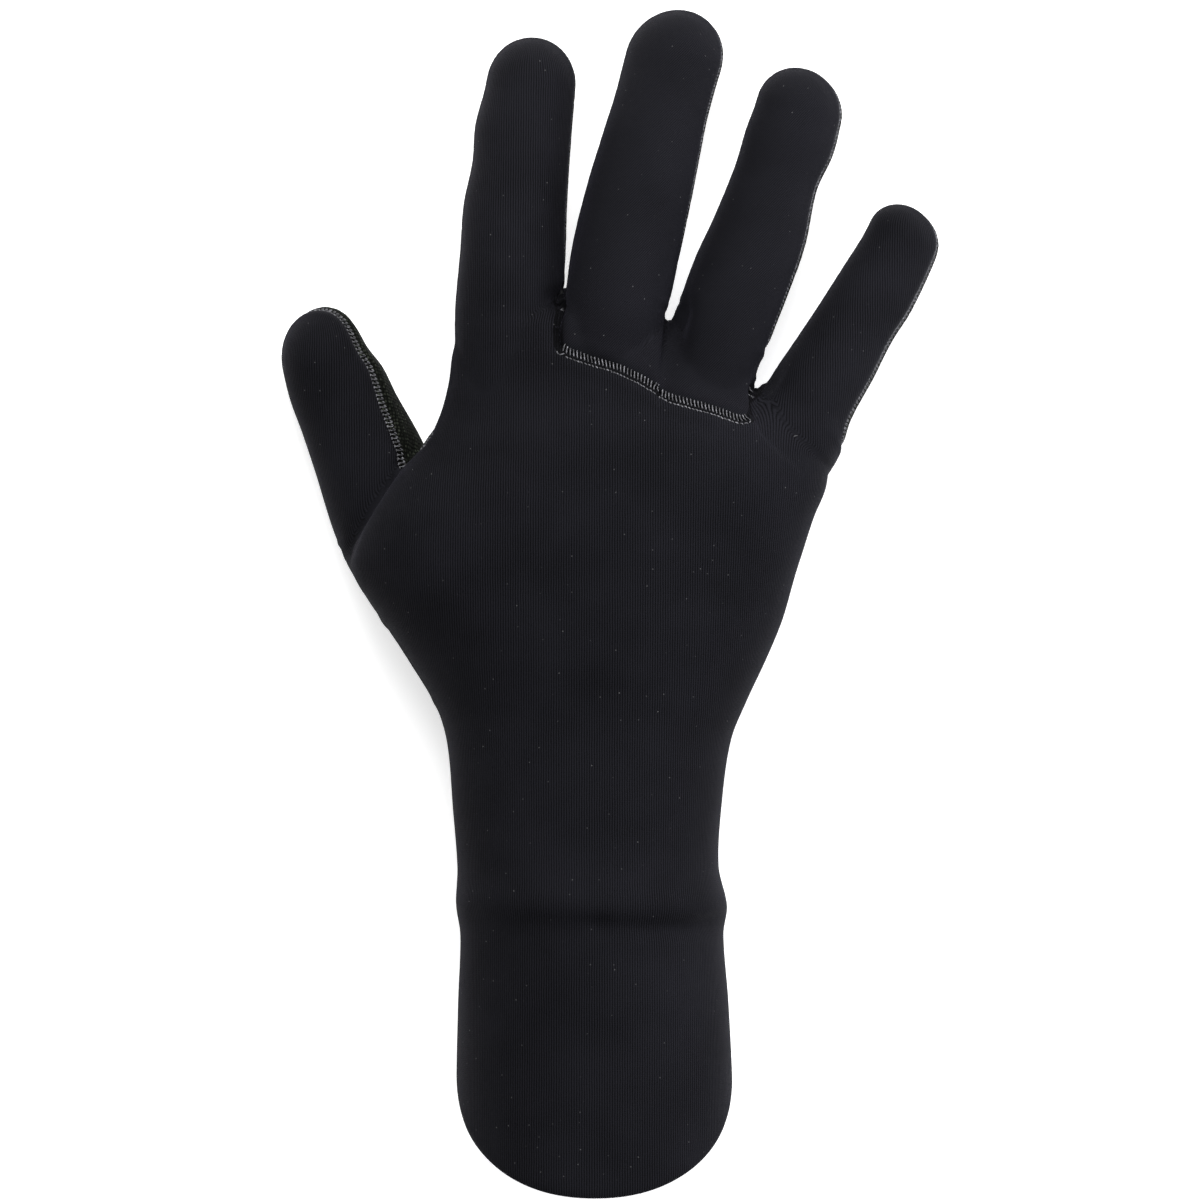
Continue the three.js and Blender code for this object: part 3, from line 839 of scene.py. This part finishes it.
def on_skin(tree, place):
    """The skin's nearest place, and its normal there."""
    spot, normal, _, _ = tree.find_nearest(Vector(place))
    return np.array(spot), np.array(normal)


class SeamLine:
    """A line on the skin that stitches follow; in one with creases some are out of sight."""

    def __init__(self, line, tree, creased):
        self.tree = tree
        self.line = line
        self.creased = creased
        lengths = np.linalg.norm(np.diff(line, axis=0), axis=1)
        self.stops = np.concatenate([[0], np.cumsum(lengths)])
        self.length = self.stops[-1]
        self.directions = np.gradient(line, axis=0)
        self.normals = np.array([on_skin(tree, p)[1] for p in line])

    def at(self, values, along):
        return np.stack([np.interp(along, self.stops, values[:, a]) for a in range(3)], axis=-1)

    def stitch(self, path):
        """Points of one stitch from (along, across, height) triples."""
        spots, ups = [], []
        for along, across, height in path:
            middle = self.at(self.line, along)
            forward = self.at(self.directions, along)
            up = self.at(self.normals, along)
            spot, normal = on_skin(self.tree, middle + across * unit(np.cross(forward, up)))
            spots.append(spot + height * normal)
            ups.append(normal)
        return spots, ups


def oriented(line, tree, measure):
    """The line, turned round if need be so that the measure rises to its left, seen from outside."""
    votes = 0
    for i in range(len(line) // 8, len(line) - 1, max(len(line) // 8, 1)):
        aside = SIDE_STEP * unit(np.cross(line[i + 1] - line[i], on_skin(tree, line[i])[1]))
        low, high = measure(np.array([line[i] - aside, line[i] + aside]))
        votes += 1 if low > high else -1
    return line if votes > 0 else line[::-1]


# Stitches are paths of (share along, share across, rise), drawn out at a pitch along a seam.
BAR = [(-0.5, -0.5, -1.1), (-0.41, -0.43, 0.4), (0.0, 0.0, 1.0), (0.41, 0.43, 0.4), (0.5, 0.5, -1.1)]


def row_of_stitches(seam, shape, pitch, length, width, offset):
    """One stitch after another along the seam, each spanning a length along it and a width."""
    places = np.arange(abs(length), seam.length - abs(length), pitch)
    if seam.creased:
        upward = seam.at(seam.normals, places)[:, 2]
        in_sight = (crease_depth(seam.at(seam.line, places)) < STITCH_DEPTH) & (upward > STITCH_UP)
        places = places[in_sight]
    return [
        seam.stitch([(at + length * a, offset + width * c, STITCH_HEIGHT * up) for a, c, up in shape])
        for at in places
    ]


def threads_object(name, stitches, material):
    """One mesh of closed tubes along the stitches, which all have as many points."""
    spots = np.array([s for s, _ in stitches])
    ups = np.array([u for _, u in stitches])
    count, length, _ = spots.shape
    forward = unit(np.gradient(spots, axis=1))
    aside = unit(np.cross(forward, ups))
    up = np.cross(aside, forward)
    angles = np.arange(THREAD_SIDES) / THREAD_SIDES * 2 * math.pi
    rings = (
        spots[:, :, None]
        + THREAD * np.cos(angles)[:, None] * up[:, :, None]
        + THREAD * np.sin(angles)[:, None] * aside[:, :, None]
    )
    caps = np.stack([spots[:, 0], spots[:, -1]], axis=1)
    per_stitch = length * THREAD_SIDES + 2
    points = np.concatenate([rings.reshape(count, -1, 3), caps], axis=1)
    faces = []
    for i in range(length - 1):
        for j in range(THREAD_SIDES):
            a, b = i * THREAD_SIDES + j, i * THREAD_SIDES + (j + 1) % THREAD_SIDES
            faces += [(a, b, b + THREAD_SIDES), (a, b + THREAD_SIDES, a + THREAD_SIDES)]
    last = (length - 1) * THREAD_SIDES
    for j in range(THREAD_SIDES):
        k = (j + 1) % THREAD_SIDES
        faces += [(per_stitch - 2, k, j), (per_stitch - 1, last + j, last + k)]
    faces = np.array(faces)[None] + per_stitch * np.arange(count)[:, None, None]
    return mesh_object(name, points.reshape(-1, 3), faces.reshape(-1, 3), [material])


# Materials

class Nodes:
    """A node tree, added to node by node."""

    def __init__(self, tree):
        self.tree = tree

    def fill(self, socket, value):
        if isinstance(value, bpy.types.NodeSocket):
            self.tree.links.new(value, socket)
        else:
            socket.default_value = value

    def node(self, kind, inputs, **settings):
        """Outputs of a new node with its settings made and its inputs filled, by number or name."""
        node = self.tree.nodes.new("ShaderNode" + kind)
        for name, value in settings.items():
            setattr(node, name, value)
        for key, value in inputs.items():
            self.fill(node.inputs[key], value)
        return node.outputs

    def split(self, vector):
        return self.node("SeparateXYZ", {0: vector})[:]

    def ramp(self, value, low, high, to_low=0.0, to_high=1.0, shape="SMOOTHSTEP"):
        stops = dict(enumerate((value, low, high, to_low, to_high)))
        return self.node("MapRange", stops, interpolation_type=shape)[0]


class Shader(Nodes):
    """A material's nodes."""

    def __init__(self, name):
        self.material = bpy.data.materials.new(name)
        self.material.use_nodes = True
        super().__init__(self.material.node_tree)
        self.tree.nodes.clear()
        output = self.tree.nodes.new("ShaderNodeOutputMaterial")
        self.surface = self.tree.nodes.new("ShaderNodeBsdfPrincipled")
        self.tree.links.new(self.surface.outputs[0], output.inputs["Surface"])

    def set(self, **values):
        for name, value in values.items():
            self.fill(self.surface.inputs[name.replace("_", " ")], value)

    def math(self, operation, *values):
        return self.node("Math", dict(enumerate(values)), operation=operation)[0]

    def add(self, first, second):
        return self.math("ADD", first, second)

    def times(self, first, second):
        return self.math("MULTIPLY", first, second)

    def mix(self, share, first, second):
        return self.node("Mix", {"Factor": share, 6: first, 7: second}, data_type="RGBA")[2]

    def attribute(self, name):
        return self.node("Attribute", {}, attribute_name=name)["Vector"]

    def cloth(self, angle=0.0):
        """Flat place on the cloth in millimetres, turned by an angle."""
        inputs = {"Vector": self.attribute("cloth"), "Angle": math.radians(angle)}
        turned = self.node("VectorRotate", inputs, rotation_type="Z_AXIS")[0]
        u, v, _ = self.split(turned)
        return turned, u, v

    def marks(self):
        """Distances from the knuckle seam and the side seam, and how evenly the cloth lies."""
        return self.split(self.attribute("marks"))

    def seam_shade(self):
        """Painted shade: 1 where stitches pull the cloth down into a slot and the slot's shadow is painted
        into the colour, 0 elsewhere.
        """
        knuckle, side, _ = self.marks()
        slots = [(knuckle, 0.0, 1.3, 0.6), (knuckle, 1.35, 0.55, 0.2), (side, 0.0, 1.5, 0.8)]
        shade = 0.0
        for distance, offset, outside, inside in slots:
            away = self.math("ABSOLUTE", self.add(distance, offset))
            shade = self.math("MAXIMUM", shade, self.ramp(away, outside, inside))
        return shade

    def object_place(self):
        return self.node("TexCoord", {})["Object"]

    def noise(self, place, scale, detail=2.0, rough=0.5):
        inputs = {"Vector": place, "Scale": scale, "Detail": detail, "Roughness": rough}
        return self.node("TexNoise", inputs)[0]

    def voronoi(self, place, scale, randomness=1.0):
        inputs = {"Vector": place, "Scale": scale, "Randomness": randomness}
        cells = self.node("TexVoronoi", inputs, voronoi_dimensions="2D")
        return cells["Distance"], cells["Color"]

    def bump(self, height, depth):
        """A relief of a depth in metres."""
        return self.node("Bump", {"Strength": 1.0, "Distance": depth, "Height": height})[0]


def grey(value, blue=1.0):
    return (value, value, value * blue, 1)


WALE = 0.67  # width of a knitted column
TWILL = 0.5  # width of a diagonal line
COURSE = 0.5  # height of its stitches
KNIT_MEAN = 0.6  # the knit pattern's mean height, which stands in for it where cloth bunches up
LINT_CELL = 5.0  # spacing of the places where a speck of lint may lie
LINT_CHANCE = 0.7  # share of them that stay bare
DOT_PITCH = 1.0  # spacing of the grip cloth's dots
# colour of the painted shade in the stitch slots along the seams
SLOT_SHADE_COLOUR = (0.001, 0.001, 0.0012, 1)


def knit_material(name, low, high, pitch=WALE, angle=0.0, lint=1.0):
    """Jersey: columns of V stitches, with soft mottling and white lint here and there."""
    s = Shader(name)
    place, u, v = s.cloth(angle)
    waver = s.times(s.noise(place, 0.22), 0.5)
    phase = s.math("FRACT", s.add(s.math("DIVIDE", u, pitch), waver))
    fold = s.math("ABSOLUTE", s.math("SUBTRACT", phase, 0.5))
    rib = s.math("SUBTRACT", 1.0, s.math("POWER", s.times(fold, 2.0), 1.5))
    rise = s.add(s.math("DIVIDE", v, COURSE), s.times(fold, 1.4))
    loop = s.math("ABSOLUTE", s.math("SINE", s.times(rise, math.pi)))
    knit = s.add(s.times(rib, 0.8), s.times(loop, 0.2))
    even = s.ramp(s.marks()[2], 0.6, 0.98)
    knit = s.add(s.times(s.math("SUBTRACT", knit, KNIT_MEAN), even), KNIT_MEAN)
    fuzz = s.noise(place, 2.1, 3.0, 0.65)
    mottle = s.noise(s.object_place(), 38.0, 3.0, 0.55)
    light = s.add(s.times(knit, 0.62), s.times(fuzz, 0.38))
    light = s.add(light, s.times(s.math("SUBTRACT", mottle, 0.5), 0.45))
    cloth = s.mix(s.ramp(light, 0.25, 0.85), low, high)
    # painted shade: the cloth darkened towards the slot colour in the stitch slots along the seams
    cloth = s.mix(s.times(s.seam_shade(), 0.8), cloth, SLOT_SHADE_COLOUR)
    distance, chance = s.voronoi(place, 1 / LINT_CELL)
    ragged = s.add(distance, s.times(s.noise(place, 3.0), 0.05))
    speck = s.ramp(ragged, 0.07, 0.04)
    draw = s.math("FRACT", s.times(chance, 7.31))
    bright = s.times(s.ramp(draw, LINT_CHANCE, 1.12, 0.02, 0.42), lint)
    picked = s.times(s.math("GREATER_THAN", draw, LINT_CHANCE), bright)
    s.set(Base_Color=s.mix(s.times(speck, picked), cloth, grey(0.2)))
    s.set(Roughness=s.ramp(fuzz, 0.2, 0.8, 0.75, 0.95))
    s.set(Sheen_Weight=0.022, Sheen_Roughness=0.3, Sheen_Tint=(0.75, 0.72, 1.0, 1))
    s.set(Specular_IOR_Level=0.05)
    relief_height = s.add(s.times(knit, 0.8), s.times(fuzz, 0.5))
    s.set(Normal=s.bump(relief_height, 0.00012))
    return s.material


def grip_material():
    """Grip cloth: a dark ground with small raised, slightly olive dots."""
    s = Shader("grip cloth")
    place, u, v = s.cloth()
    distance, chance = s.voronoi(place, 1 / DOT_PITCH, 0.35)
    dot = s.ramp(distance, 0.42, 0.26)
    fuzz = s.noise(place, 2.4, 3.0, 0.6)
    mottle = s.noise(s.object_place(), 60.0, 3.0, 0.55)
    ground = s.mix(s.ramp(mottle, 0.3, 0.7), (0.001, 0.0013, 0.0009, 1), (0.003, 0.0038, 0.0026, 1))
    # painted shade: the ground darkened towards the slot colour in the stitch slots along the seams
    ground = s.mix(s.times(s.seam_shade(), 0.6), ground, SLOT_SHADE_COLOUR)
    bright = s.times(dot, s.ramp(chance, 0.3, 1.0, 0.1, 1.0))
    s.set(Base_Color=s.mix(bright, ground, (0.026, 0.03, 0.022, 1)))
    s.set(Roughness=s.ramp(dot, 0, 1, 0.9, 0.7))
    s.set(Specular_IOR_Level=0.05)
    height = s.add(dot, s.times(fuzz, 0.35))
    s.set(Normal=s.bump(height, 0.0002))
    return s.material


def foam_material():
    """Cut edge of closed-cell foam: matt black with fine pores."""
    s = Shader("foam")
    place = s.object_place()
    pores = s.noise(place, 2600.0, 2.0, 0.6)
    tone = s.noise(place, 300.0)
    s.set(Base_Color=s.mix(s.ramp(tone, 0.3, 0.7), grey(0.008), grey(0.014)))
    s.set(Roughness=0.92, Specular_IOR_Level=0.1)
    s.set(Normal=s.bump(pores, 0.00012))
    return s.material


def thread_material():
    """Grey nylon thread with a twist."""
    s = Shader("thread")
    place = s.object_place()
    twist = s.noise(place, 5200.0, 2.0, 0.6)
    tone = s.noise(place, 1100.0, 2.0, 0.6)
    light = s.add(s.times(twist, 0.3), s.times(tone, 0.7))
    s.set(Base_Color=s.mix(s.ramp(light, 0.4, 0.66), grey(0.03, 1.1), grey(0.19, 1.08)))
    s.set(Roughness=0.55, Specular_IOR_Level=0.35)
    s.set(Normal=s.bump(twist, 0.00006))
    return s.material


# Making the glove

field = glove_field()
skin = make_skin(field)
part_panels(skin)

normals = normals_of(skin.points, skin.triangles)
lift = relief(skin.points, normals)
outer = skin.points + lift[:, None] * normals
inner = skin.points
for depth in np.linspace(0, WALL, INNER_STEPS + 1)[1:]:
    inner = settle(field, inner, -depth)
inner = inner + np.minimum(lift + CREASE_WALL, 0)[:, None] * normals
place, turn, evenness = flat_place(skin.points)
seam_distances = [
    np.clip(distance_on_skin(measure, skin.points, normals), -FAR, FAR)
    for measure in (insert_side, palm_side)
]
marks = np.stack(seam_distances + [evenness], axis=1)

jersey = knit_material("back jersey", grey(0.0012, 1.35), grey(0.0096, 1.3))
finger_jersey = knit_material("finger jersey", grey(0.003, 1.35), grey(0.0086, 1.3), TWILL, 45)
lining = knit_material("inner jersey", grey(0.005, 1.05), grey(0.014, 1.05), lint=0.0)
grip = grip_material()
foam = foam_material()
thread = thread_material()

PANELS = [
    ("glove_back", BACK, "back_panel", "knit_face", jersey),
    ("glove_finger_back", INSERT, "finger_back_panel", "finger_knit_face", finger_jersey),
    ("glove_palm", PALM, "palm_panel", "grip_cloth", grip),
]

for name, mark, node, slot, face in PANELS:
    triangles = skin.triangles[skin.panel == mark]
    corners = cloth_corners(place, turn, triangles)
    panel = panel_object(name, outer, inner, triangles, corners, marks, [face, foam, lining])
    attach(panel, "root")
    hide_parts(node)

tree = BVHTree.FromPolygons(outer.tolist(), skin.triangles.tolist())

# Each seam's rows: shape, pitch, length along, width across and offset towards the hand or palm.
KNUCKLE_ROWS = [
    (BAR, 1.0, 0.75, 2.2, -0.2),
    (BAR, 1.0, 0.62, 0.12, 1.95),
]
SIDE_ROWS = [
    (BAR, 1.15, -0.5, 2.2, 0.0),
    (BAR, 1.15, 0.5, 0.25, -1.1),
    (BAR, 1.15, -0.6, 0.4, 1.1),
]

back_above = palm_side(skin.points) < 0
knuckle_triangles = skin.triangles[back_above[skin.triangles].all(1)]
backward = lambda points: -palm_side(points)
seams = {
    "knuckle": (knuckle_triangles, insert_side, KNUCKLE_ROWS),
    "side": (skin.triangles, backward, SIDE_ROWS),
}
for name, (triangles, measure, rows) in seams.items():
    stitches = []
    for line, closed in seam_lines(outer, triangles, measure(skin.points)):
        if len(line) < LEAST_LINE:
            continue
        line = oriented(even_line(line, closed), tree, measure)
        seam = SeamLine(line, tree, name == "knuckle")
        for shape, pitch, length, width, offset in rows:
            stitches += row_of_stitches(seam, shape, pitch, length, width, offset)
    piece = threads_object(name + "_stitching", stitches, thread)
    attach(piece, "root")

# Stage

FRAME_WIDTH = 0.318  # what the picture's 1200 pixels cover
VIEW_CENTRE = (0.00265, 0.0371)
CAMERA_HEIGHT = 3.0
FOCUS_HEIGHT = 0.028
SENSOR = 36.0


def make_camera():
    data = bpy.data.cameras.new("camera")
    data.sensor_width = SENSOR
    data.lens = SENSOR * (CAMERA_HEIGHT - FOCUS_HEIGHT) / FRAME_WIDTH
    data.clip_start = 0.1
    data.clip_end = 20
    camera = add_object("camera", data)
    camera.location = (*VIEW_CENTRE, CAMERA_HEIGHT)
    bpy.context.scene.camera = camera


def make_floor():
    s = Shader("floor")
    tone = s.noise(s.object_place(), 6.0)
    s.set(Base_Color=s.mix(tone, (0.9, 0.9, 0.9, 1), (0.94, 0.94, 0.94, 1)))
    s.set(Roughness=0.9, Specular_IOR_Level=0.1)
    s.set(Emission_Color=(1, 1, 1, 1), Emission_Strength=0.55)
    size = 3000.0
    points = np.array([(-size, -size, 0), (size, -size, 0), (size, size, 0), (-size, size, 0)])
    floor = mesh_object("floor", points, np.array([[0, 1, 2, 3]]), [s.material])
    floor.location.z = -0.0002


def area_light(name, place, target, size, power, colour=(1, 1, 1)):
    data = bpy.data.lights.new(name, "AREA")
    data.shape = "DISK"
    data.size = size
    data.energy = power
    data.color = colour
    light = add_object(name, data)
    light.location = place
    light.rotation_euler = (Vector(target) - Vector(place)).to_track_quat("-Z", "Y").to_euler()


SURROUNDINGS = (0.12, 1.15)  # the light that comes in from the left and from the right


def make_lights():
    world = bpy.data.worlds.new("studio")
    world.use_nodes = True
    nodes = Nodes(world.node_tree)
    sideways = nodes.split(nodes.node("TexCoord", {})["Generated"])[0]
    background = world.node_tree.nodes["Background"].inputs
    nodes.fill(background["Color"], (1, 1, 1, 1))
    nodes.fill(background["Strength"], nodes.ramp(sideways, -1.0, 1.0, *SURROUNDINGS, "LINEAR"))
    bpy.context.scene.world = world
    middle = (0, 0.03, 0.02)
    area_light("right softbox", (1.3, 0.2, 0.5), middle, 0.9, 12, (0.9, 0.9, 1.0))
    area_light("top softbox", (0.0, 0.7, 0.8), middle, 0.8, 13)


make_camera()
make_floor()
make_lights()
bpy.context.scene.view_settings.view_transform = "Standard"
